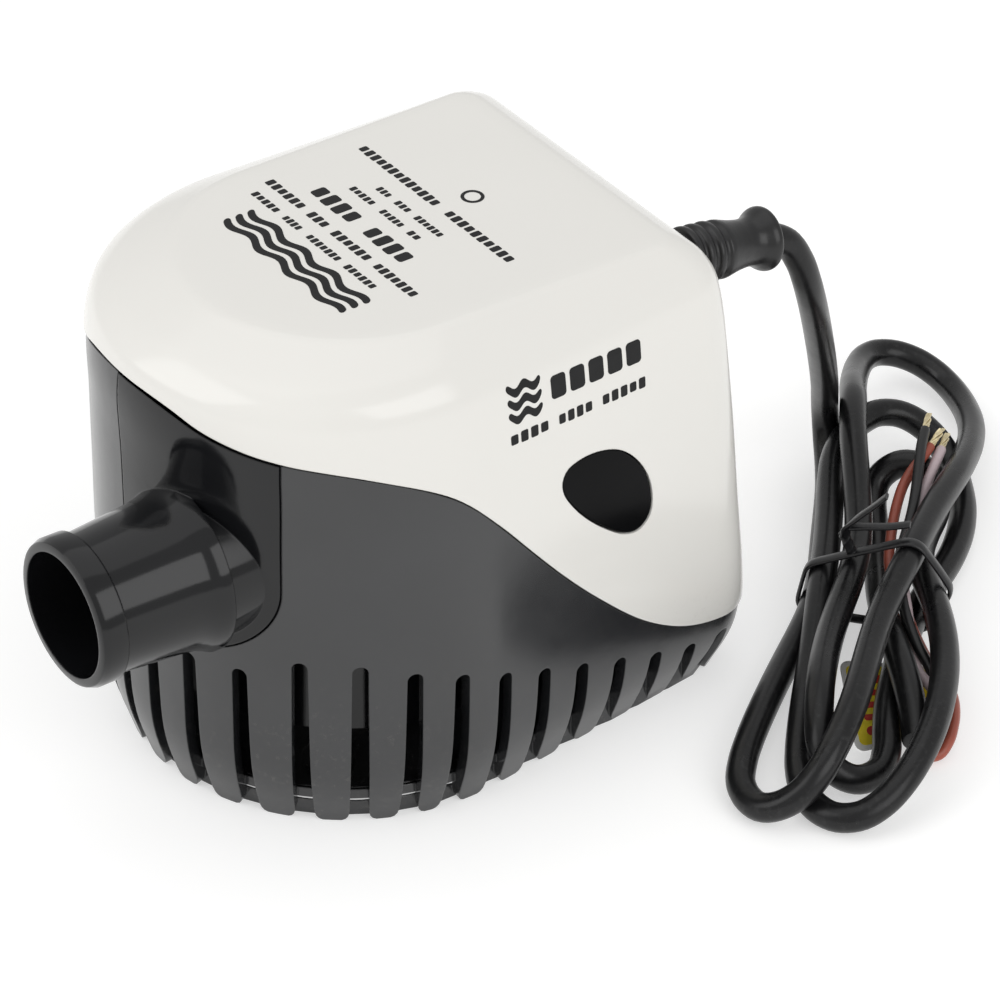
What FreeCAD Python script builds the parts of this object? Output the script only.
import FreeCAD, Part
import math
import os
from FreeCAD import Vector

# Automatic (float-switched) submersible bilge pump with its coiled cable.
# Millimetres, +Z up, origin on the resting plane under the motor axis.
# The cable leaves at the +X end, the hose outlet points to -X.

# ---------------------------------------------------------------- driving dimensions
HEIGHT = 103.0            # resting plane to the flat top
COVER_WALL = 2.4
BASE_STEP = 0.5           # strainer wall sits this far inside the cover's surface
BASE_WALL = 2.9
BASE_INSET = BASE_STEP + BASE_WALL
PART_GAP = 0.15           # gap on each side of the parting line
LIP_H = 2.0               # strainer lip above the parting line
CAVITY_Z = -2.0           # hollowing tools start below the resting plane

# hose tail, lengths measured from its mouth
OUT_X, OUT_Y, OUT_Z = -73.2, -14.9, 56.5
OUT_BORE_R = 12.45
OUT_FACE_R = 14.40
OUT_RIDGE_R = 14.75       # barb for 1-1/8 in (28.6 mm) hose
OUT_RIDGE_L = 5.4
OUT_NECK_R = 13.80
OUT_ROOT_R = 14.95
OUT_FLARE_R = OUT_ROOT_R + 1.75
PAD_R = 17.0              # half width of the pad that carries the hose tail
NOTCH_R = PAD_R + 0.3     # notch in the strainer round the pad

FLOOR_Z0, FLOOR_Z1 = 4.8, 7.0
MOUNT_X, MOUNT_DX, MOUNT_DY = 14.0, 36.0, 26.0     # mounting holes: centre, half pitches
MOUNT_R = 2.5
MOUNTS = [(MOUNT_X + i * MOUNT_DX, j * MOUNT_DY) for i in (-1, 1) for j in (-1, 1)]

HOUSING_R, HOUSING_BORE_R = 41.0, 38.5
HOUSING_Z0, HOUSING_Z1 = 20.0, 74.0
SPIGOT_R = HOUSING_BORE_R - 0.15                   # parts that fit in the housing bore
CUP_R, CUP_BORE_R = 23.5, 21.4
CUP_Z0 = 40.0
DECK_Z0, DECK_Z1 = HOUSING_Z1, HOUSING_Z1 + 3.0
GROOVE_Z0, GROOVE_Z1 = 70.8, 73.2                  # O-ring groove
EYE_R = 12.0              # opening of the inlet plate

SHAFT_R = 1.59
BUSH_BORE_R = SHAFT_R + 0.03
BUSH_R = 4.5
CAN_R, CAN_WALL = 21.2, 1.2
CAN_Z0, CAN_Z1 = 43.0, 94.0
CORE_Z0, CORE_Z1 = 52.0, 78.0                      # armature core
POLES = [i * 360.0 / 7 for i in range(7)]          # armature slot angles

STEM_X, STEM_R = 50.8, 3.5                         # float stem
STEM_SLOT_R = STEM_R - 0.7                         # bottom of the clip groove
FLOAT_BORE_R, FLOAT_BORE_Z = 6.0, 25.4             # magnet recess in the float
LEAD_STEP = 1.45          # between the reed switch leads
BOARD_Z0, BOARD_Z1 = 79.0, 80.6

CABLE_R = 2.92
WIRE_R = 1.12

# screw places (x, y)
EAR_R, EAR_Z0 = 4.4, 70.0
EARS = [(31.0, 31.0), (31.0, -31.0)]
DECK_EAR_R = 4.0
DECK_EARS = [(50.0, 34.0), (50.0, -34.0)]
FLOAT_SCREWS = [(STEM_X, 15.5), (STEM_X, -15.5)]
LUG_R, LUG_ANGLES = 35.6, (20, 110, 200, 290)
PLATE_SCREW = dict(shank_r=1.1, length=8.0, head_r=2.2, head_h=1.5)
COVER_SCREW = dict(shank_r=1.5, head_r=2.9, head_h=2.0)
FLOAT_SCREW = dict(shank_r=1.2, length=8.0, head_r=2.3, head_h=1.6)

# cable gland: root on its axis, tilted down towards +X
GLAND_TILT = math.radians(7.7)
GLAND_DIR = Vector(math.cos(GLAND_TILT), 0, -math.sin(GLAND_TILT))
GLAND_SIDE = Vector(math.sin(GLAND_TILT), 0, math.cos(GLAND_TILT))
GLAND_ROOT = Vector(61.2, -24.0, 90.4)

# ---------------------------------------------------------------- measured outlines
# body plan sections: z, nose radius, nose centre x, end x, half width at end, corner radius
SECTIONS = [
    (0.0, 44.4, 0.0, 69.5, 37.0, 12.0),
    (12.0, 47.8, 0.0, 70.8, 42.3, 12.0),
    (20.0, 48.6, 0.0, 70.4, 43.7, 12.0),
    (40.0, 48.8, -0.4, 68.0, 44.0, 12.0),
    (60.0, 48.4, -1.0, 65.4, 43.8, 11.0),
    (75.0, 47.3, -2.4, 63.4, 43.3, 10.0),
    (90.0, 45.3, -4.6, 61.4, 42.3, 9.0),
    (95.0, 43.7, -4.9, 60.2, 41.2, 8.0),
    (98.5, 40.6, -4.2, 58.4, 39.2, 7.0),
    (101.0, 36.6, -1.9, 55.6, 36.4, 5.6),
    (102.2, 34.2, -0.7, 53.5, 34.7, 4.8),
    (102.8, 32.9, -0.2, 52.2, 33.8, 4.4),
    (103.0, 31.9, 0.0, 51.2, 33.0, 4.0),
]
# heights of the loft's outlines
LEVELS = [0.0, 3.0, 7.0, 12.0, 16.0, 22.0, 30.0, 40.0, 50.0, 60.0, 68.0, 76.0, 83.0, 88.0,
          91.5, 94.0, 96.2, 98.0, 99.6, 101.0, 102.0, 102.6, 103.0]

# parting line between cover and strainer: (x, z)
PARTING = [
    (-75.0, 94.5), (-60.0, 93.2), (-49.2, 92.0), (-45.5, 88.9), (-41.4, 86.9), (-36.6, 85.5),
    (-29.6, 84.0), (-23.3, 82.2), (-12.7, 77.8), (-6.2, 73.6), (2.0, 65.3), (9.7, 56.2),
    (18.0, 46.6), (26.7, 37.5), (37.3, 27.7), (45.0, 22.4), (50.8, 19.6), (57.0, 17.9),
    (63.7, 17.3), (72.0, 17.2), (85.0, 17.2),
]

# release button on the cover's side: (x, z)
BUTTON = [
    (17.0, 68.6), (18.2, 70.8), (21.5, 71.9), (26.0, 71.8), (31.0, 70.1), (35.0, 66.6),
    (38.2, 61.5), (39.5, 56.0), (38.9, 51.8), (36.2, 49.6), (32.6, 50.2), (28.0, 53.3),
    (23.0, 57.9), (19.2, 62.6), (17.3, 66.0),
]

# strainer slots
SLOT_W = 3.1
SLOT_FLARE = 0.35         # each side, towards the open lower end
SLOT_X0, SLOT_DEPTH = -5.5, 10.0
# round the nose: (degrees from -Y towards -X, top z)
NOSE_SLOT_R = 47.6
NOSE_SLOTS = [
    (18.8, 37.3), (31.2, 40.3), (44.7, 40.8), (58.8, 36.8), (72.1, 36.4), (84.0, 36.4),
    (96.0, 36.8), (107.9, 40.6), (121.2, 40.9), (135.3, 40.8), (148.8, 40.3), (161.2, 37.3),
]
# along both sides: (x, distance from the XZ plane, top z)
SIDE_SLOTS = [
    (-6.1, 47.3, 34.3), (3.8, 47.4, 30.5), (13.6, 46.8, 26.9), (23.3, 46.2, 23.4),
    (33.1, 45.6, 20.0), (42.8, 44.9, 16.6), (52.3, 44.0, 13.8),
]
SIDE_SLOT_ANGLE = 92.0
# at both +X corners: (x, distance from the XZ plane, outward angle)
CORNER_SLOTS = [(61.0, 42.4, 62.0), (67.5, 35.6, 25.0)]
END_SLOT_X, END_SLOT_PITCH, END_SLOT_TOP = 69.0, 9.0, 13.2

# supply cable centre line, from inside the cover to the end of its jacket: (x, y, z)
CABLE_PATH = [
    (52.28, -24.00, 91.61), (58.24, -24.00, 90.80), (64.19, -24.00, 90.00), (70.15, -24.00, 89.20),
    (76.10, -24.00, 88.41), (82.06, -23.98, 87.66), (87.18, -24.43, 84.87), (90.35, -25.02, 79.66),
    (92.69, -24.60, 74.33), (95.03, -23.31, 69.43), (97.57, -21.43, 64.69), (100.31, -19.13, 59.80),
    (103.29, -16.52, 54.58), (106.50, -13.64, 48.98), (109.92, -10.50, 43.03),
    (113.45, -7.17, 36.89), (116.94, -3.78, 30.78), (120.14, -0.54, 25.05), (122.68, 2.19, 20.03),
    (124.25, 3.70, 15.78), (124.82, 3.87, 11.91), (124.08, 2.29, 8.40), (122.10, -0.94, 5.49),
    (119.05, -5.07, 3.65), (115.28, -9.52, 3.27), (111.31, -13.95, 3.34), (107.25, -18.41, 3.41),
    (103.16, -22.94, 3.45), (99.07, -27.46, 3.54), (94.93, -31.82, 3.70), (90.58, -35.88, 3.77),
    (85.93, -39.58, 3.67), (80.97, -43.06, 3.50), (75.84, -46.55, 3.48), (70.64, -50.19, 3.71),
    (65.39, -54.01, 4.11), (60.14, -57.95, 4.59), (54.94, -61.96, 5.03), (49.88, -65.97, 5.21),
    (45.14, -69.98, 4.84), (41.49, -74.01, 3.94), (40.10, -78.06, 3.37), (40.27, -81.93, 3.61),
    (42.24, -85.11, 5.25), (45.52, -87.27, 8.13), (50.02, -87.42, 11.74), (55.05, -85.51, 14.72),
    (59.94, -82.61, 16.36), (64.64, -79.17, 16.99), (69.21, -75.38, 17.10), (73.75, -71.42, 17.04),
    (78.30, -67.45, 17.00), (82.91, -63.59, 17.05), (87.67, -59.93, 17.20), (92.60, -56.48, 17.47),
    (97.68, -53.09, 17.78), (102.85, -49.59, 17.89), (108.05, -45.91, 17.63),
    (113.26, -42.20, 17.10), (118.49, -38.58, 16.46), (123.70, -35.05, 15.70),
    (128.92, -31.56, 14.81), (134.10, -27.98, 13.71), (139.12, -24.12, 12.27),
    (143.96, -20.03, 10.69), (148.51, -15.71, 9.10), (152.62, -11.18, 7.57), (156.14, -6.50, 6.18),
    (159.01, -1.75, 5.07), (161.14, 2.98, 4.42), (162.39, 7.60, 4.37), (162.47, 12.13, 5.00),
    (161.00, 16.47, 6.20), (157.87, 20.07, 7.46), (153.79, 21.75, 8.36), (149.70, 20.90, 9.11),
    (145.65, 18.14, 10.21), (141.41, 14.23, 11.86), (137.04, 9.67, 13.93), (132.79, 4.89, 16.14),
    (128.93, 0.17, 17.78), (125.30, -4.17, 18.22), (121.94, -8.31, 17.89), (118.75, -12.62, 16.99),
    (115.51, -17.22, 15.68), (112.12, -22.01, 14.32), (108.56, -26.85, 13.23),
    (104.75, -31.64, 12.57), (100.62, -36.25, 12.37), (96.12, -40.61, 12.47),
    (91.32, -44.76, 12.63), (86.34, -48.80, 12.80), (81.30, -52.92, 13.02), (76.32, -57.29, 13.45),
    (71.41, -61.92, 14.07), (66.67, -66.72, 14.65), (62.28, -71.55, 14.58), (58.57, -76.13, 12.93),
    (56.23, -80.08, 9.92), (56.41, -82.80, 7.10), (58.13, -84.67, 5.07), (60.60, -85.91, 3.75),
    (63.62, -86.30, 3.22), (66.86, -85.75, 3.30), (70.37, -83.12, 4.00), (74.26, -78.52, 4.61),
    (78.69, -73.41, 4.52), (83.52, -68.56, 4.07), (88.45, -64.00, 3.65), (93.34, -59.67, 3.48),
    (98.27, -55.61, 3.63), (103.25, -51.85, 3.79), (108.30, -48.48, 3.70), (113.48, -45.51, 3.52),
    (118.63, -42.66, 3.43), (123.54, -39.62, 3.36), (128.19, -36.19, 3.33), (132.55, -32.27, 3.33),
    (136.46, -27.89, 3.35), (139.74, -23.22, 3.52), (142.32, -18.55, 4.01), (144.08, -14.04, 5.00),
    (144.66, -9.63, 6.64), (143.59, -5.31, 8.77), (140.61, -1.69, 10.67), (136.18, 0.15, 11.63),
    (131.15, -0.29, 11.79), (126.11, -2.29, 11.92), (121.41, -4.86, 11.73), (117.32, -8.12, 11.30),
    (113.66, -11.91, 10.81), (110.14, -15.99, 10.38), (106.55, -20.20, 10.05),
    (102.82, -24.44, 9.86), (98.97, -28.70, 9.84), (95.02, -32.98, 9.92), (90.96, -37.32, 9.87),
    (86.71, -41.83, 9.37), (82.22, -46.60, 8.37), (77.58, -51.41, 7.16), (72.98, -56.03, 6.13),
    (68.59, -60.44, 5.49), (64.44, -64.71, 5.20), (60.46, -68.96, 5.04), (56.64, -73.25, 4.83),
    (53.11, -77.67, 4.43), (50.39, -82.39, 3.87), (49.25, -87.42, 3.34), (50.45, -92.18, 3.30),
    (53.96, -95.41, 4.17), (58.69, -96.42, 6.02), (63.83, -95.65, 8.13), (69.07, -93.63, 10.01),
    (74.23, -90.71, 11.38), (79.26, -87.00, 12.06), (84.10, -82.69, 12.10), (88.70, -78.01, 11.85),
    (93.02, -73.06, 11.55), (96.98, -67.87, 11.31), (100.54, -62.42, 11.15),
    (103.87, -56.64, 10.92), (107.19, -50.51, 10.32), (111.03, -44.30, 9.16),
    (115.88, -38.58, 7.52), (121.47, -33.73, 6.45), (126.77, -30.01, 6.72), (129.89, -27.09, 8.18),
    (131.41, -24.21, 9.70), (131.59, -21.26, 10.82), (130.62, -18.40, 11.32),
    (128.65, -16.15, 10.89), (126.16, -15.01, 9.55), (123.58, -15.03, 7.63),
    (120.96, -17.14, 5.36), (118.07, -21.23, 3.60), (114.65, -26.09, 3.24), (111.03, -30.82, 3.45),
    (107.50, -35.34, 4.10), (104.03, -39.80, 5.08), (100.38, -44.54, 6.22), (96.65, -49.78, 7.49),
    (92.94, -55.55, 8.76), (89.31, -61.81, 9.65), (85.85, -68.42, 9.88), (82.33, -74.91, 9.27),
    (78.82, -80.83, 8.07), (75.36, -86.09, 6.66),
]
# centre lines of the three leads: (x, y, z)
BLACK_PATH = [
    (75.45, -85.78, 6.14), (79.87, -85.34, 3.21), (84.20, -84.20, 1.56), (87.67, -81.58, 1.60),
    (89.93, -78.40, 2.25), (90.98, -75.21, 3.21), (91.85, -72.32, 4.66), (92.68, -69.33, 6.59),
    (92.98, -65.62, 8.67), (94.00, -61.43, 10.68), (95.69, -57.24, 12.31), (97.92, -53.37, 13.32),
    (100.51, -49.64, 13.80), (103.45, -46.07, 14.00), (106.73, -42.79, 14.02),
    (110.28, -39.73, 14.02), (113.91, -36.67, 14.14), (117.44, -33.50, 14.46),
    (120.76, -30.29, 14.99), (123.78, -27.20, 15.70), (126.55, -24.30, 16.49),
    (129.26, -21.51, 17.28), (132.24, -18.70, 17.71), (134.35, -16.81, 17.88),
]
RED_PATH = [
    (77.36, -82.79, 3.06), (78.02, -85.71, 1.68), (80.17, -87.49, 2.08), (83.13, -86.76, 3.42),
    (86.33, -84.30, 4.25), (89.60, -80.89, 4.50), (92.46, -76.76, 4.38), (94.20, -72.34, 4.07),
    (95.01, -68.10, 4.36), (95.78, -63.86, 5.49), (96.97, -59.25, 7.15), (98.76, -54.50, 8.48),
    (100.79, -50.11, 9.28), (102.45, -46.06, 9.66), (104.31, -42.40, 9.80),
    (106.84, -39.10, 10.05), (109.75, -35.95, 10.38), (112.76, -32.83, 10.73),
    (115.89, -29.81, 11.16), (119.14, -26.96, 11.82), (122.51, -24.47, 12.75),
    (126.11, -22.65, 13.83), (129.87, -21.34, 14.91), (133.46, -19.85, 15.84),
]
WHITE_PATH = [
    (79.36, -82.02, 1.82), (82.13, -82.41, 2.15), (84.90, -81.83, 3.16), (87.22, -80.08, 4.33),
    (88.73, -77.20, 5.31), (89.55, -73.36, 5.80), (90.48, -68.76, 5.97), (92.55, -64.04, 6.85),
    (95.17, -59.89, 8.72), (97.42, -56.27, 10.45), (99.41, -53.08, 11.33), (101.62, -49.80, 11.62),
    (104.39, -46.05, 11.60), (107.82, -42.15, 11.53), (111.81, -38.46, 11.60),
    (116.05, -35.15, 11.91), (120.10, -32.09, 12.37), (123.83, -29.24, 12.95),
    (127.38, -26.67, 13.62), (130.84, -24.31, 14.34), (134.26, -21.92, 14.80),
    (135.38, -21.10, 14.90),
]
LEAD_PATHS = {"black": BLACK_PATH, "red": RED_PATH, "white": WHITE_PATH}

# flat tie round the coil: centre, band normal and across direction in plan
TIE_CENTRE = Vector(98.572, -44.703, 0)
TIE_NORMAL = Vector(-0.7600, -0.6500, 0)
TIE_ACROSS = Vector(0.6500, -0.7600, 0)
TIE_W = 2.9
STRIP_W, STRIP_T = 2.4, 0.6
KNOT_R = 1.25
# inner and outer line of the band: (across, z)
TIE_INNER = [
    (14.87, 10.89), (14.84, 11.26), (14.76, 11.63), (14.63, 11.98), (14.46, 12.31), (12.02, 15.80),
    (9.00, 19.73), (8.83, 19.93), (8.62, 20.13), (8.41, 20.30), (8.19, 20.44), (7.96, 20.57),
    (7.72, 20.68), (7.47, 20.76), (7.09, 20.85), (6.83, 20.89), (6.48, 20.91), (6.14, 20.91),
    (5.88, 20.88), (5.62, 20.83), (5.37, 20.75), (4.41, 20.37), (-12.18, 12.63), (-12.41, 12.50),
    (-12.63, 12.35), (-12.83, 12.19), (-13.02, 12.01), (-13.20, 11.81), (-13.35, 11.60),
    (-13.49, 11.37), (-13.61, 11.14), (-13.70, 10.89), (-13.77, 10.64), (-14.90, 4.27),
    (-14.94, 3.96), (-14.94, 3.70), (-14.93, 3.44), (-14.89, 3.18), (-14.82, 2.92), (-14.74, 2.67),
    (-14.63, 2.43), (-14.51, 2.20), (-14.36, 1.98), (-14.20, 1.78), (-14.01, 1.59), (-13.82, 1.41),
    (-13.60, 1.26), (-13.38, 1.12), (-13.14, 1.00), (-12.89, 0.91), (-12.64, 0.83), (-12.38, 0.78),
    (-12.12, 0.75), (8.42, 0.75), (8.92, 0.77), (9.19, 0.80), (9.44, 0.85), (9.70, 0.92),
    (9.94, 1.02), (10.21, 1.15), (10.44, 1.29), (10.65, 1.44), (10.84, 1.61), (11.03, 1.80),
    (11.19, 2.00), (11.33, 2.22), (11.46, 2.45), (13.02, 5.79), (14.68, 9.80), (14.79, 10.15),
    (14.85, 10.52),
]
TIE_OUTER = [
    (15.40, 10.90), (15.38, 11.20), (15.33, 11.49), (15.26, 11.78), (15.17, 12.05), (15.05, 12.32),
    (14.91, 12.58), (12.45, 16.11), (9.42, 20.06), (9.21, 20.29), (8.97, 20.53), (8.72, 20.72),
    (8.46, 20.90), (8.19, 21.05), (7.91, 21.17), (7.62, 21.27), (7.20, 21.37), (6.89, 21.42),
    (6.49, 21.44), (6.11, 21.44), (5.80, 21.40), (5.49, 21.34), (5.20, 21.26), (4.20, 20.85),
    (-12.41, 13.10), (-12.68, 12.95), (-12.94, 12.78), (-13.18, 12.59), (-13.41, 12.37),
    (-13.61, 12.14), (-13.79, 11.89), (-13.95, 11.63), (-14.09, 11.35), (-14.20, 11.06),
    (-14.29, 10.77), (-15.43, 4.35), (-15.47, 4.00), (-15.47, 3.69), (-15.45, 3.38),
    (-15.41, 3.07), (-15.33, 2.77), (-15.23, 2.48), (-15.11, 2.20), (-14.96, 1.93), (-14.79, 1.67),
    (-14.59, 1.43), (-14.38, 1.20), (-14.15, 1.00), (-13.90, 0.82), (-13.63, 0.66), (-13.36, 0.52),
    (-13.06, 0.40), (-12.76, 0.32), (-12.46, 0.26), (-12.15, 0.22), (8.43, 0.22), (8.96, 0.24),
    (9.27, 0.27), (9.57, 0.33), (9.87, 0.42), (10.16, 0.53), (10.47, 0.69), (10.73, 0.84),
    (10.98, 1.03), (11.21, 1.23), (11.42, 1.45), (11.62, 1.69), (11.79, 1.95), (11.93, 2.22),
    (13.50, 5.58), (15.17, 9.60), (15.26, 9.88), (15.33, 10.17), (15.38, 10.46),
]

# corners of the flat cable label: (x, y)
LABEL = [(84.9, -50.7), (101.4, -65.3), (90.2, -81.6), (68.8, -76.1)]
LABEL_Z, LABEL_T = 0.02, 0.15


# ---------------------------------------------------------------- helpers
def save(shape, name):
    if isinstance(shape, list):
        shape = Part.makeCompound(shape)
    shape.exportStep("parts/%s.step" % name)


def largest(shape):
    """The largest solid of a boolean result."""
    return max(shape.Solids, key=lambda solid: solid.Volume)


def cylinder(radius, z0, z1, x=0.0, y=0.0):
    return Part.makeCylinder(radius, z1 - z0, Vector(x, y, z0))


def tube(outer_r, inner_r, z0, z1, x=0.0, y=0.0):
    return cylinder(outer_r, z0, z1, x, y).cut(cylinder(inner_r, z0 - 1, z1 + 1, x, y))


def rod(radius, length, start, axis=Vector(1, 0, 0)):
    return Part.makeCylinder(radius, length, start, axis)


def box(x0, x1, y0, y1, z0, z1):
    return Part.makeBox(x1 - x0, y1 - y0, z1 - z0, Vector(x0, y0, z0))


def rounded_box(x0, x1, y0, y1, z0, z1, radius):
    """Box with rounded vertical edges."""
    block = box(x0, x1, y0, y1, z0, z1)
    upright = []
    for edge in block.Edges:
        a, b = edge.Vertexes
        if abs(a.X - b.X) < 1e-6 and abs(a.Y - b.Y) < 1e-6:
            upright.append(edge)
    return block.makeFillet(radius, upright)


def polygon_face(points):
    return Part.Face(Part.makePolygon(points + points[:1]))


def revolve(profile, origin=Vector(0, 0, 0), axis=Vector(0, 0, 1), side=Vector(1, 0, 0)):
    """Solid of revolution from (radius, distance along the axis) pairs."""
    face = polygon_face([origin + side * radius + axis * along for radius, along in profile])
    return face.revolve(origin, axis, 360)


def turned(shape, degrees):
    """Copy turned about the motor axis."""
    copy = shape.copy()
    copy.rotate(Vector(0, 0, 0), Vector(0, 0, 1), degrees)
    return copy


def both_ends(shape):
    return [shape, turned(shape, 180)]


def mirror_y(shape):
    return shape.mirror(Vector(0, 0, 0), Vector(0, 1, 0))


def polar(radius, degrees):
    angle = math.radians(degrees)
    return radius * math.cos(angle), radius * math.sin(angle)


def holes(places, radius, z0, z1):
    return [cylinder(radius, z0, z1, x, y) for x, y in places]


def screw(place, z, shank_r, length, head_r, head_h, up=True):
    """Cross-head screw; z is the underside of the head, up points the shank to +Z."""
    x, y = place
    sign = 1 if up else -1
    body = revolve([(0, -head_h), (head_r * 0.75, -head_h), (head_r, -head_h * 0.45),
                    (head_r, 0), (shank_r, 0), (shank_r, length - shank_r),
                    (shank_r * 0.35, length), (0, length)],
                   Vector(x, y, z), Vector(0, 0, sign))
    face_z = z - sign * head_h
    z0, z1 = sorted((face_z - sign * 0.01, face_z + sign * head_h * 0.55))
    arm_w, arm_l = 0.5, head_r * 1.1
    for dx, dy in ((arm_w / 2, arm_l / 2), (arm_l / 2, arm_w / 2)):
        body = body.cut(box(x - dx, x + dx, y - dy, y + dy, z0, z1))
    return largest(body)


# ---------------------------------------------------------------- body form
def section_value(z, column):
    """Monotone cubic interpolation of one column of SECTIONS."""
    count = len(SECTIONS)
    zs = [row[0] for row in SECTIONS]
    values = [row[column] for row in SECTIONS]
    step = [zs[i + 1] - zs[i] for i in range(count - 1)]
    rise = [(values[i + 1] - values[i]) / step[i] for i in range(count - 1)]
    slope = [rise[0]] + [0.0] * (count - 2) + [rise[-1]]
    for i in range(1, count - 1):
        if rise[i - 1] * rise[i] > 0:
            w1, w2 = 2 * step[i] + step[i - 1], step[i] + 2 * step[i - 1]
            slope[i] = (w1 + w2) / (w1 / rise[i - 1] + w2 / rise[i])
    i = max(k for k in range(count - 1) if zs[k] <= z)
    t = (z - zs[i]) / step[i]
    return ((2 * t ** 3 - 3 * t ** 2 + 1) * values[i]
            + (t ** 3 - 2 * t ** 2 + t) * step[i] * slope[i]
            + (-2 * t ** 3 + 3 * t ** 2) * values[i + 1]
            + (t ** 3 - t ** 2) * step[i] * slope[i + 1])


def plan_wire(z, section_z, inset):
    """Plan outline of the section at section_z, moved in by inset, placed at z."""
    nose_r, nose_x, end_x, end_y, corner_r = [section_value(section_z, i) for i in range(1, 6)]
    nose_r, end_x, end_y = nose_r - inset, end_x - inset, end_y - inset
    corner_r = max(corner_r - inset, 1.2)
    length = end_x - nose_x
    lean = math.atan2(length, end_y) - math.acos(nose_r / math.hypot(length, end_y))
    sin, cos = math.sin(lean), math.cos(lean)
    corner_x = end_x - corner_r
    corner_y = (nose_r - corner_r - (corner_x - nose_x) * sin) / cos

    def arc(x, y, radius, start, stop):
        return Part.Arc(*[Vector(x + radius * math.cos(t), y + radius * math.sin(t), z)
                          for t in (start, (start + stop) / 2, stop)]).toShape()

    flank = math.pi / 2 - lean
    nose_end = Vector(nose_x + nose_r * sin, nose_r * cos, z)
    corner_start = Vector(corner_x + corner_r * sin, corner_y + corner_r * cos, z)
    return Part.Wire([
        arc(nose_x, 0, nose_r, math.pi, flank),
        Part.makeLine(nose_end, corner_start),
        arc(corner_x, corner_y, corner_r, flank, 0),
        Part.makeLine(Vector(end_x, corner_y, z), Vector(end_x, -corner_y, z)),
        arc(corner_x, -corner_y, corner_r, 0, -flank),
        Part.makeLine(Vector(corner_start.x, -corner_start.y, z),
                      Vector(nose_end.x, -nose_end.y, z)),
        arc(nose_x, 0, nose_r, -flank, -math.pi)])


def envelope(inset, drop=0.0, bottom=0.0):
    """Outer form moved in by inset, its top lowered by drop, starting at bottom."""
    wires = [plan_wire(bottom, 0.0, inset)]
    for z in LEVELS[1:]:
        share = max(0.0, (z - 60.0) / (HEIGHT - 60.0))
        wires.append(plan_wire(z - drop * share, z, inset))
    return Part.makeLoft(wires, True, False)


def cavity(wall):
    return envelope(wall, wall, CAVITY_Z)


def floor_plate(inset):
    outline = plan_wire(FLOOR_Z0, 4.0, inset)
    return Part.Face(outline).extrude(Vector(0, 0, FLOOR_Z1 - FLOOR_Z0))


def parting_block(dz, above=False):
    """Everything below (or above) the parting line moved by dz."""
    points = [Vector(x, 0, z + dz) for x, z in PARTING]
    curve = Part.BSplineCurve()
    curve.interpolate(points)
    far_z = 200.0 if above else -60.0
    first, last = points[0], points[-1]
    far_first, far_last = Vector(first.x, 0, far_z), Vector(last.x, 0, far_z)
    face = Part.Face(Part.Wire([curve.toShape(), Part.makeLine(last, far_last),
                                Part.makeLine(far_last, far_first),
                                Part.makeLine(far_first, first)]))
    face.translate(Vector(0, -100, 0))
    return face.extrude(Vector(0, 200, 0))


def notch_prism(radius, x0, x1):
    """Round-bottomed prism along the hose tail axis, open upwards."""
    bottom = rod(radius, x1 - x0, Vector(x0, OUT_Y, OUT_Z))
    top = box(x0, x1, OUT_Y - radius, OUT_Y + radius, OUT_Z, 130.0)
    return bottom.fuse(top).removeSplitter()


def button_prism(grow, y1):
    """Button outline grown outwards, as a prism from y = -60 to y1."""
    y0 = -60.0
    count = len(BUTTON)
    centre_x = sum(x for x, z in BUTTON) / count
    centre_z = sum(z for x, z in BUTTON) / count
    points = []
    for i, (x, z) in enumerate(BUTTON):
        before, after = BUTTON[i - 1], BUTTON[(i + 1) % count]
        dx, dz = after[0] - before[0], after[1] - before[1]
        chord = math.hypot(dx, dz)
        normal_x, normal_z = dz / chord, -dx / chord
        if normal_x * (x - centre_x) + normal_z * (z - centre_z) < 0:
            normal_x, normal_z = -normal_x, -normal_z
        points.append(Vector(x + grow * normal_x, y0, z + grow * normal_z))
    curve = Part.BSplineCurve()
    curve.interpolate(points, PeriodicFlag=True)
    return Part.Face(Part.Wire([curve.toShape()])).extrude(Vector(0, y1 - y0, 0))


# ---------------------------------------------------------------- pump housing and inlet
LUGS = [polar(LUG_R, angle) for angle in LUG_ANGLES]


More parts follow.
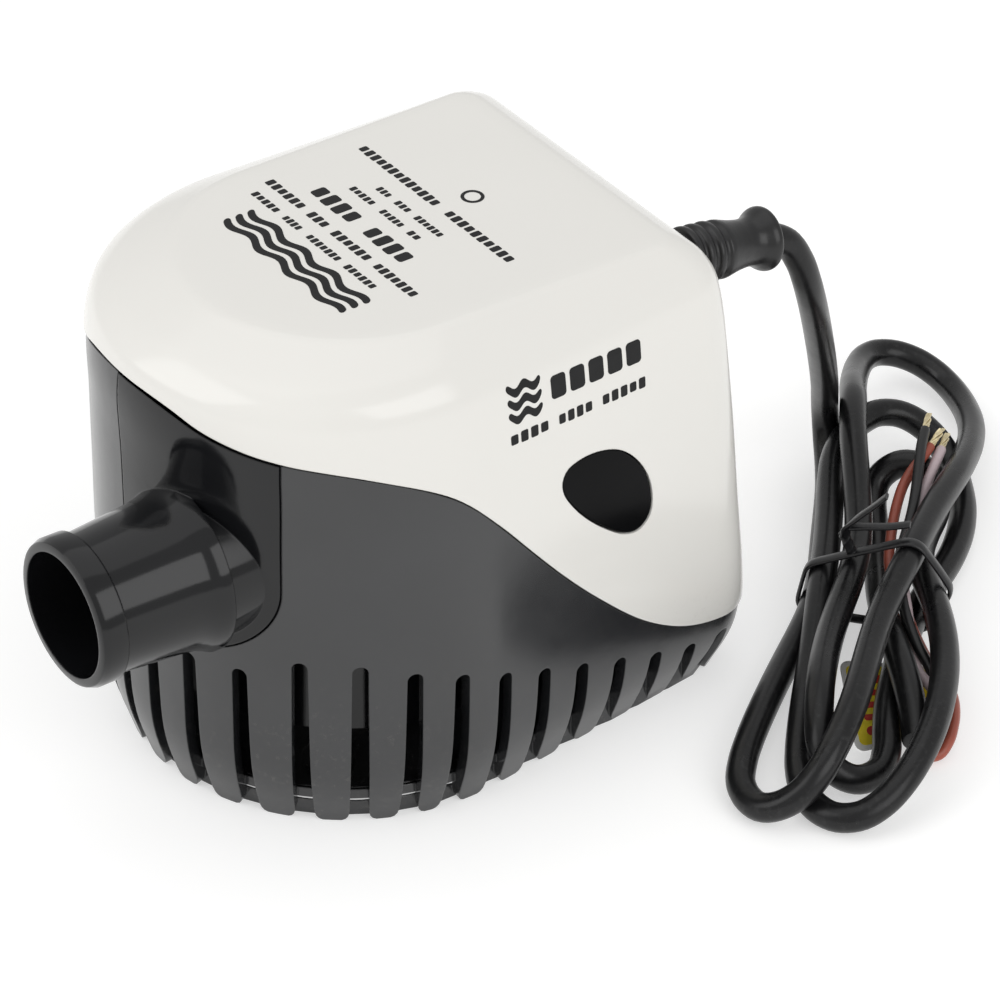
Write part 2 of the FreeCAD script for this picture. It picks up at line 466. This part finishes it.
def pump_housing():
    """Round wall with the hose tail and the pad flush with the strainer wall."""
    wall = tube(HOUSING_R, HOUSING_BORE_R, HOUSING_Z0, HOUSING_Z1)
    lugs = holes(LUGS, 2.9, HOUSING_Z0 + 3.0, HOUSING_Z0 + 9.0)
    ears = holes(EARS, EAR_R, EAR_Z0, HOUSING_Z1)
    ears += [box(27.0, 33.0, y, y + 7.0, EAR_Z0, HOUSING_Z1) for y in (24.0, -31.0)]
    tail = revolve([(0, 0), (OUT_FACE_R - 0.7, 0), (OUT_FACE_R - 0.2, 0.25), (OUT_FACE_R, 0.8),
                    (OUT_RIDGE_R, 1.6), (OUT_RIDGE_R, OUT_RIDGE_L - 0.3),
                    (OUT_RIDGE_R - 0.3, OUT_RIDGE_L), (OUT_NECK_R, OUT_RIDGE_L + 0.15),
                    (OUT_ROOT_R, 20.5), (OUT_ROOT_R + 0.35, 22.6), (OUT_ROOT_R + 0.95, 24.4),
                    (OUT_FLARE_R, 26.0), (OUT_FLARE_R, 27.2), (OUT_ROOT_R, 27.4),
                    (OUT_ROOT_R, 42.0), (0, 42.0)],
                   Vector(OUT_X, OUT_Y, OUT_Z), Vector(1, 0, 0), Vector(0, 0, 1))
    pad = envelope(BASE_STEP).common(notch_prism(PAD_R, -62.0, -24.0)).cut(cavity(BASE_INSET))
    pad = largest(pad.common(parting_block(-0.5)))
    collar = rod(OUT_ROOT_R + 0.6, 12.0, Vector(-47.0, OUT_Y, OUT_Z))
    collar = collar.common(envelope(BASE_STEP + 0.8))
    body = wall.fuse([tail, collar, pad] + lugs + ears)
    # hose bore, then what reaches into the ring space inside the wall
    body = body.cut([rod(OUT_BORE_R, 60.0, Vector(OUT_X - 1, OUT_Y, OUT_Z)),
                     tube(HOUSING_BORE_R, 30.5, 30.5, 80.0)])
    for x, y in EARS:
        body = body.cut([cylinder(1.5, 60.0, 80.0, x, y), cylinder(3.1, 66.0, EAR_Z0, x, y)])
    for hole in holes(LUGS, 1.1, 15.0, 28.5):
        body = body.cut(hole)
    return largest(body.cut(cylinder(23.9, 23.5, 80.0)))


def inlet_plate():
    """Plate under the impeller with crossed ribs over its opening."""
    z0, z1 = 17.5, 23.0
    plate = revolve([(EYE_R, z0), (EYE_R + 2.0, z0), (EYE_R + 3.5, HOUSING_Z0),
                     (SPIGOT_R, HOUSING_Z0), (SPIGOT_R, z1), (EYE_R, z1)])
    for hole in holes(LUGS, 1.3, 15.0, 30.0):
        plate = plate.cut(hole)
    rib = box(-EYE_R - 0.4, EYE_R + 0.4, -0.6, 0.6, z0, 19.0)
    for angle in range(0, 180, 45):
        plate = plate.fuse(turned(rib, angle))
    return largest(plate.removeSplitter())


def inlet_plate_screws():
    return [screw(place, HOUSING_Z0, **PLATE_SCREW) for place in LUGS]


# ---------------------------------------------------------------- strainer base
def slot(x, y, angle, top):
    """Slot tool through the wall at (x, y), facing outwards at angle degrees."""
    half_w = SLOT_W / 2
    foot_w = half_w + SLOT_FLARE
    half = [(half_w, top - half_w), (foot_w, 2.4), (foot_w + 0.25, 1.1),
            (foot_w + 0.75, 0.35), (foot_w + 1.5, -0.01), (foot_w + 1.5, -3.0)]
    points = [Vector(SLOT_X0, side, z) for side, z in half]
    points += [Vector(SLOT_X0, -side, z) for side, z in reversed(half)]
    tool = polygon_face(points).extrude(Vector(SLOT_DEPTH, 0, 0))
    tool = tool.fuse(rod(half_w, SLOT_DEPTH, Vector(SLOT_X0, 0, top - half_w)))
    tool = turned(tool, angle)
    tool.translate(Vector(x, y, 0))
    return tool


def all_slots():
    slots = []
    for angle, top in NOSE_SLOTS:
        outward = -90.0 - angle
        slots.append(slot(*polar(NOSE_SLOT_R, outward), outward, top))
    for x, y, top in SIDE_SLOTS:
        slots += [slot(x, side * y, side * SIDE_SLOT_ANGLE, top) for side in (-1, 1)]
    for side in (-1, 1):
        slots += [slot(x, side * y, side * angle, END_SLOT_TOP) for x, y, angle in CORNER_SLOTS]
    for i in range(-3, 4):
        slots.append(slot(END_SLOT_X, i * END_SLOT_PITCH, 0.0, END_SLOT_TOP))
    # the floor keeps its full outline
    return Part.makeCompound(slots).cut(floor_plate(BASE_STEP + 1.9)).Solids


def strainer_base():
    outer = envelope(BASE_STEP).common(parting_block(-PART_GAP))
    band = parting_block(LIP_H).cut(parting_block(-3.0))
    lip_inset = COVER_WALL + 0.3
    lip = envelope(lip_inset, lip_inset).common(band)
    shell = outer.fuse(lip.Solids).cut(cavity(BASE_INSET))
    # notch round the hose tail pad; the box repeats its part near the rim
    shell = shell.cut([notch_prism(NOTCH_R, -80.0, -20.0),
                       box(-80, -20, OUT_Y - NOTCH_R, OUT_Y + NOTCH_R, 84.0, 110.0)])
    floor = floor_plate(BASE_INSET - 0.3).cut(cylinder(17.0, 0, 10))
    grid = Part.makeCompound([box(-17.5, 17.5, i * 6.0 - 0.8, i * 6.0 + 0.8,
                                  FLOOR_Z0, FLOOR_Z1 - 0.6) for i in range(-2, 3)])
    grid = grid.common(cylinder(17.6, 0, 10))
    base = shell.fuse([floor] + grid.Solids)

    # upright fingers behind the release buttons, each with a short rib
    finger = box(24.0, 33.0, -39.3, -37.3, FLOOR_Z0 + 0.5, 61.0)
    finger = finger.fuse(box(27.9, 29.1, -37.4, -33.5, FLOOR_Z0 + 0.5, 24.0))
    base = base.fuse([finger, mirror_y(finger)])
    base = base.fuse(holes(MOUNTS, 5.2, FLOOR_Z0 - 1.2, FLOOR_Z1 + 1.0))
    base = base.cut(all_slots())
    for hole in holes(MOUNTS, MOUNT_R, -5, 20):
        base = base.cut(hole)
    return largest(base)


# ---------------------------------------------------------------- cover and buttons
def top_cover():
    cover = envelope(0.0).common(parting_block(PART_GAP, above=True)).cut(cavity(COVER_WALL))
    post_limit = envelope(1.2, 1.2)
    posts = [post.common(post_limit) for post in holes(EARS + DECK_EARS, 3.3, DECK_Z1, 101.5)]
    cover = cover.fuse(posts + [tube(21.0, 19.4, 98.2, 101.2)])
    window = button_prism(0.0, -30.0)
    cuts = holes(EARS + DECK_EARS, 1.5, 60.0, 92.0) + [window, mirror_y(window)]
    # stepped cable gland hole: radius, length, start along the axis
    for radius, length, start in ((5.0, 16.0, -8.0), (6.2, 8.0, 0.2), (6.1, 4.0, -9.5)):
        cuts.append(rod(radius, length, GLAND_ROOT + GLAND_DIR * start, GLAND_DIR))
    return largest(cover.cut(cuts))


def cover_screws():
    return ([screw(place, EAR_Z0, length=18.0, **COVER_SCREW) for place in EARS]
            + [screw(place, DECK_Z0, length=14.0, **COVER_SCREW) for place in DECK_EARS])


def latch_button():
    """Release button on the -Y side, with a flange behind the window."""
    button = button_prism(-0.3, -42.2).common(envelope(0.25))
    flange = button_prism(1.3, -42.9).common(envelope(COVER_WALL + 0.2))
    return largest(button.fuse(flange))


# ---------------------------------------------------------------- motor deck and cup
def motor_housing():
    cup = revolve([(2.3, CUP_Z0), (6.0, CUP_Z0), (6.0, 36.0), (8.6, 36.0), (8.6, CUP_Z0),
                   (CUP_R - 1.5, CUP_Z0), (CUP_R, CUP_Z0 + 1.5), (CUP_R, 70.0), (36.2, 70.0),
                   (SPIGOT_R, 70.0), (SPIGOT_R, GROOVE_Z0), (36.3, GROOVE_Z0),
                   (36.3, GROOVE_Z1), (SPIGOT_R, GROOVE_Z1), (SPIGOT_R, DECK_Z0),
                   (HOUSING_R, DECK_Z0), (HOUSING_R, DECK_Z1), (CUP_BORE_R, DECK_Z1),
                   (CUP_BORE_R, CAN_Z0), (2.3, CAN_Z0)])
    deck = rounded_box(20.0, 58.5, -29.0, 29.0, DECK_Z0, DECK_Z1, 5.0)
    tabs = holes(EARS, EAR_R, DECK_Z0, DECK_Z1) + holes(DECK_EARS, DECK_EAR_R, DECK_Z0, DECK_Z1)
    tabs.append(box(46.0, 54.0, -34.0, 34.0, DECK_Z0, DECK_Z1))
    cup = cup.fuse([deck] + tabs)
    cuts = holes(EARS + DECK_EARS, 1.6, 60.0, 90.0)
    cuts += [cylinder(CUP_BORE_R, CAN_Z0, 90.0), cylinder(4.2, 60, 90, STEM_X)]
    cuts += holes(FLOAT_SCREWS, 1.25, 60, 90)
    return largest(cup.cut(cuts).removeSplitter())


def housing_o_ring():
    middle = Vector(0, 0, (GROOVE_Z0 + GROOVE_Z1) / 2)
    return Part.makeTorus(37.4, 1.08, middle, Vector(0, 0, 1))


def shaft_seal():
    return revolve([(BUSH_BORE_R, 36.6), (2.6, 36.6), (4.6, 37.6), (5.9, 36.6), (5.9, 39.9),
                    (BUSH_BORE_R, 39.9)])


# ---------------------------------------------------------------- motor
def motor_can():
    inner_r, inner_z = CAN_R - CAN_WALL, CAN_Z0 + CAN_WALL
    return revolve([(BUSH_R, CAN_Z0), (CAN_R, CAN_Z0), (CAN_R, CAN_Z1), (inner_r, CAN_Z1),
                    (inner_r, inner_z), (BUSH_R, inner_z)])


def field_magnets():
    magnet = Part.makeCylinder(19.9, 33.0, Vector(0, 0, 50.0), Vector(0, 0, 1), 130.0)
    magnet = largest(magnet.cut(cylinder(15.2, 45, 90)))
    return [turned(magnet, angle) for angle in (25.0, 205.0)]


def bush(z0, z1):
    return revolve([(BUSH_BORE_R, z0), (BUSH_R, z0), (BUSH_R, z1), (BUSH_BORE_R, z1)])


def lower_bush():
    return bush(CAN_Z0, CAN_Z0 + 5.0)


def upper_bush():
    return bush(CAN_Z1 - 1.5, CAN_Z1 + 3.0)


def motor_end_cap():
    cap = revolve([(BUSH_R, CAN_Z1 - 1.5), (6.5, CAN_Z1 - 1.5), (6.5, CAN_Z1), (CAN_R, CAN_Z1),
                   (CAN_R, CAN_Z1 + 3.6), (CAN_R - 1, CAN_Z1 + 4.0), (5.0, CAN_Z1 + 4.0),
                   (BUSH_R, CAN_Z1 + 3.5)])
    return largest(cap.cut([box(-19, -15, -3, 3, 90, 100), box(15, 19, -3, 3, 90, 100)]))


def motor_shaft():
    z0, z1, bevel = 25.6, 96.7, 0.3
    return revolve([(0, z0), (SHAFT_R - bevel, z0), (SHAFT_R, z0 + bevel),
                    (SHAFT_R, z1 - bevel), (SHAFT_R - bevel, z1), (0, z1)])


WINDING_X = 9.4           # winding centre from the motor axis


def armature_core():
    core = tube(14.6, SHAFT_R, CORE_Z0, CORE_Z1)
    opening = box(11.0, 15.0, -0.9, 0.9, 50, 80).fuse(cylinder(2.5, 50, 80, WINDING_X))
    for angle in POLES:
        core = core.cut(turned(opening, angle))
    return largest(core)


def armature_windings():
    """Two notched end turns joined by a round bundle in each core slot."""
    z0, z1 = 48.8, 81.6
    lower = revolve([(4.6, z0 + 0.8), (6.0, z0), (12.2, z0), (13.6, z0 + 1.2),
                     (13.6, CORE_Z0), (4.6, CORE_Z0)])
    upper = revolve([(4.6, CORE_Z1), (13.6, CORE_Z1), (13.6, z1 - 1.2), (12.2, z1),
                     (6.0, z1), (4.6, z1 - 0.8)])
    parts = []
    for end in (lower, upper):
        for angle in POLES:
            end = end.cut(turned(cylinder(0.9, 40, 90, 14.2), angle))
        parts.append(largest(end))
    parts += [turned(cylinder(2.4, CORE_Z0, CORE_Z1, WINDING_X), angle) for angle in POLES]
    return largest(parts[0].fuse(parts[1:]))


def commutator():
    ring = tube(5.0, SHAFT_R, 83.0, 90.0)
    for angle in POLES:
        ring = ring.cut(turned(box(4.2, 6, -0.2, 0.2, 84.0, 91.0), angle))
    return largest(ring)


def motor_brushes():
    return both_ends(box(5.05, 11.5, -1.6, 1.6, 85.2, 88.4))


def brush_holders():
    holder = box(8.0, 17.5, -2.8, 2.8, 84.0, 89.6)
    holder = holder.cut(box(7, 14.5, -1.62, 1.62, 85.18, 88.42))
    holder = holder.fuse(box(15.0, 17.5, -2.8, 2.8, 89.6, 92.6))
    holder = holder.fuse(box(15.0, 18.6, -2.8, 2.8, 92.0, 94.0))
    return both_ends(largest(holder.removeSplitter()))


def brush_springs():
    pitch, length, coil_r, wire_r = 0.75, 2.4, 1.15, 0.17
    circle = Part.Circle(Vector(coil_r, 0, 0), Vector(0, 1, 0), wire_r)
    helix = Part.Wire(Part.makeHelix(pitch, length, coil_r))
    coil = helix.makePipeShell([Part.Wire([circle.toShape()])], True, True)
    coil.rotate(Vector(0, 0, 0), Vector(0, 1, 0), 90)
    coil.translate(Vector(11.8, 0, 86.8))
    return both_ends(coil)


def impeller():
    """Back disc, hub and six curved vanes below the disc."""
    disc_r = 29.6
    wheel = revolve([(SHAFT_R, 25.6), (0, 25.6), (0, 24.4), (4.0, 24.4), (6.0, 26.5),
                     (6.5, 31.0), (9.0, 32.4), (disc_r, 33.0), (disc_r, 34.4), (5.5, 34.8),
                     (5.0, 35.6), (SHAFT_R, 35.6)])
    vane = cylinder(15.4, 25.4, 32.8, 14.0).cut(cylinder(13.8, 25.0, 34.0, 14.0))
    vane = vane.common(box(0, 40, 0, 40, 25, 34)).common(tube(disc_r, 9.0, 25.0, 34.0))
    vanes = []
    for i in range(6):
        vanes += turned(vane, i * 60.0).Solids
    return largest(wheel.fuse(vanes))


# ---------------------------------------------------------------- float switch
def stem_box(half_x, half_y, z0, z1, radius):
    return rounded_box(STEM_X - half_x, STEM_X + half_x, -half_y, half_y, z0, z1, radius)


def float_housing():
    """Box open at the bottom, with the float stem inside and slots in its lower walls."""
    body = stem_box(9.3, 20.0, 9.0, DECK_Z0, 3.0)
    body = body.cut(stem_box(7.7, 18.2, 5.0, DECK_Z0 - 3.0, 2.0))
    body = body.fuse(cylinder(STEM_R, 8.6, DECK_Z0, STEM_X))
    keep = cylinder(STEM_R + 0.01, 0, 100, STEM_X)
    body = body.cut([box(40, 70, y - 1.5, y + 1.5, 5.0, 40.0).cut(keep)
                     for y in (-14, -7, 7, 14, 0)])
    body = body.cut(box(40, 70, -1.5, 1.5, 60.0, 66.0).cut(cylinder(STEM_R, 0, 100, STEM_X)))
    body = body.cut([cylinder(2.1, 12.0, 90.0, STEM_X)] + holes(FLOAT_SCREWS, 1.2, 66, 90))
    return largest(body.cut(tube(STEM_R + 2, STEM_SLOT_R, 9.6, 10.5, STEM_X)))


def float_body():
    body = stem_box(7.0, 16.5, 11.5, 30.0, 3.0)
    return largest(body.cut([cylinder(STEM_R + 0.08, 5, 40, STEM_X),
                             cylinder(FLOAT_BORE_R, FLOAT_BORE_Z, 40, STEM_X)]))


def float_magnet():
    return tube(FLOAT_BORE_R, STEM_R + 0.3, FLOAT_BORE_Z, FLOAT_BORE_Z + 4.0, STEM_X)


def float_clip():
    ring = tube(5.6, STEM_SLOT_R, 9.65, 10.45, STEM_X)
    return largest(ring.cut(box(STEM_X - 8, STEM_X, -1.8, 1.8, 9, 11)))


def reed_switch():
    radius, z0, z1 = 1.3, 44.0, 58.0
    body = cylinder(radius, z0, z1, STEM_X)
    for z in (z0, z1):
        body = body.fuse(Part.makeSphere(radius, Vector(STEM_X, 0, z)))
    return largest(body.removeSplitter())


def reed_leads():
    return [cylinder(0.35, 59.35, 78.4, STEM_X), cylinder(0.3, 60.0, 78.4, STEM_X + LEAD_STEP)]


def float_housing_screws():
    return [screw(place, DECK_Z1, up=False, **FLOAT_SCREW) for place in FLOAT_SCREWS]


def switch_board():
    board = box(26.0, 55.5, -13.0, 13.0, BOARD_Z0, BOARD_Z1).cut(cylinder(CAN_R + 1.0, 70, 90))
    return largest(board.cut(holes([(STEM_X, 0), (STEM_X + LEAD_STEP, 0)], 0.6, 70, 90)))


def board_standoffs():
    return holes([(x, y) for x in (31.0, 44.0) for y in (10.5, -10.5)], 1.8, DECK_Z1, BOARD_Z0)


def switch_relay():
    return rounded_box(30.0, 45.0, -6.0, 6.0, BOARD_Z1, 92.0, 0.6)


# ---------------------------------------------------------------- cable and leads
def cable_gland():
    bore_r = CABLE_R + 0.03
    return revolve([(bore_r, -7.4), (5.9, -7.4), (5.9, -5.8), (4.9, -5.6), (4.9, 0.3), (5.9, 0.4),
                    (6.0, 1.6), (5.3, 1.8), (5.3, 2.8), (6.0, 3.0), (6.0, 4.3), (5.3, 4.5),
                    (5.3, 5.5), (6.0, 5.7), (6.0, 7.0), (5.4, 7.2), (5.4, 8.2), (5.9, 8.5),
                    (5.5, 10.5), (4.9, 13.5), (4.75, 15.5), (5.1, 17.2), (5.9, 18.4),
                    (6.35, 19.2), (6.4, 20.2), (6.1, 20.9), (CABLE_R + 0.55, 20.9),
                    (bore_r, 15.0)],
                   GLAND_ROOT, GLAND_DIR, GLAND_SIDE)


def sweep(path, radius, step):
    """Round section carried along a smooth path without twist."""
    curve = Part.BSplineCurve()
    curve.interpolate([Vector(*point) for point in path])
    wires = []
    side = None
    for centre in curve.discretize(int(curve.length() / step) + 2):
        tangent = curve.tangent(curve.parameter(centre))[0]
        if side is None:
            side = tangent.cross(Vector(0, 0, 1))
        else:
            side = side - tangent * side.dot(tangent)
        side.normalize()
        other = tangent.cross(side)
        ring = [centre + side * (radius * math.cos(angle)) + other * (radius * math.sin(angle))
                for angle in (0, math.pi / 2, math.pi, 1.5 * math.pi)]
        wires.append(Part.Wire([Part.Arc(ring[0], ring[1], ring[2]).toShape(),
                                Part.Arc(ring[2], ring[3], ring[0]).toShape()]))
    return Part.makeLoft(wires, True, True)


def supply_cable():
    return sweep(CABLE_PATH, CABLE_R, 4.0)


def lead(path):
    """Lead without the points that lie within the end of the jacket."""
    end = Vector(*CABLE_PATH[-1])
    onward = (end - Vector(*CABLE_PATH[-2])).normalize()
    clear = []
    for point in path:
        offset = Vector(*point) - end
        if offset.dot(onward) > 0.15 or offset.Length > 9.0:
            clear.append(point)
    return sweep(clear, WIRE_R, 2.5)


def lead_tip(path):
    """Seven bare strands at the end of a lead."""
    ring_r, strand_r = 0.52, 0.262
    end = Vector(*path[-1])
    onward = (end - Vector(*path[-2])).normalize()
    side = onward.cross(Vector(0, 0, 1)).normalize()
    other = onward.cross(side)
    start = end + onward * 0.2
    tip = rod(strand_r, 5.2, start, onward)
    for i in range(1, 7):
        angle = i * math.pi / 3
        offset = side * (ring_r * math.cos(angle)) + other * (ring_r * math.sin(angle))
        tip = tip.fuse(rod(strand_r, 5.2 - 0.25 * (i % 3), start + offset, onward))
    return largest(tip)


def lead_tips():
    return [lead_tip(path) for path in LEAD_PATHS.values()]


# ---------------------------------------------------------------- twist tie and label
def tie_point(across, z):
    return TIE_CENTRE + TIE_ACROSS * across + Vector(0, 0, z)


def tie_band(line):
    points = [tie_point(across, z) - TIE_NORMAL * (TIE_W / 2) for across, z in line]
    return polygon_face(points).extrude(TIE_NORMAL * TIE_W)


def tie_strip(start, end):
    """Flat strip, its width along the band's normal."""
    thick = (end - start).normalize().cross(TIE_NORMAL).normalize() * (STRIP_T / 2)
    wide = TIE_NORMAL * (STRIP_W / 2)
    corners = [start + wide + thick, start - wide + thick,
               start - wide - thick, start + wide - thick]
    return polygon_face(corners).extrude(end - start)


def twist_tie():
    """Band with a knot on top and two loose ends."""
    band = tie_band(TIE_OUTER).cut(tie_band(TIE_INNER))
    knot_start, knot_end = tie_point(-5.0, 16.35), tie_point(-6.9, 20.55)
    twist = knot_end - knot_start
    return largest(band.fuse([rod(KNOT_R, twist.Length, knot_start, twist),
                              tie_strip(knot_end - twist * 0.2, tie_point(1.1, 31.5)),
                              tie_strip(knot_end - twist * 0.3, tie_point(6.0, 25.0))]))


def cable_label():
    return polygon_face([Vector(x, y, LABEL_Z) for x, y in LABEL]).extrude(Vector(0, 0, LABEL_T))


# ---------------------------------------------------------------- output
os.makedirs("parts", exist_ok=True)
for build in (pump_housing, inlet_plate, inlet_plate_screws, strainer_base, top_cover,
              cover_screws, motor_housing, housing_o_ring, shaft_seal, motor_can,
              field_magnets, lower_bush, motor_end_cap, upper_bush, motor_shaft,
              armature_core, armature_windings, commutator, motor_brushes, brush_holders,
              brush_springs, impeller, float_housing, float_magnet, float_clip, reed_switch,
              reed_leads, float_housing_screws, switch_board, board_standoffs, switch_relay,
              cable_gland, supply_cable, lead_tips, twist_tie, cable_label):
    save(build(), build.__name__)
save(float_body(), "float")
button = latch_button()
save(button, "latch_button_near")
save(mirror_y(button), "latch_button_far")
for colour, path in LEAD_PATHS.items():
    save(lead(path), "lead_" + colour)
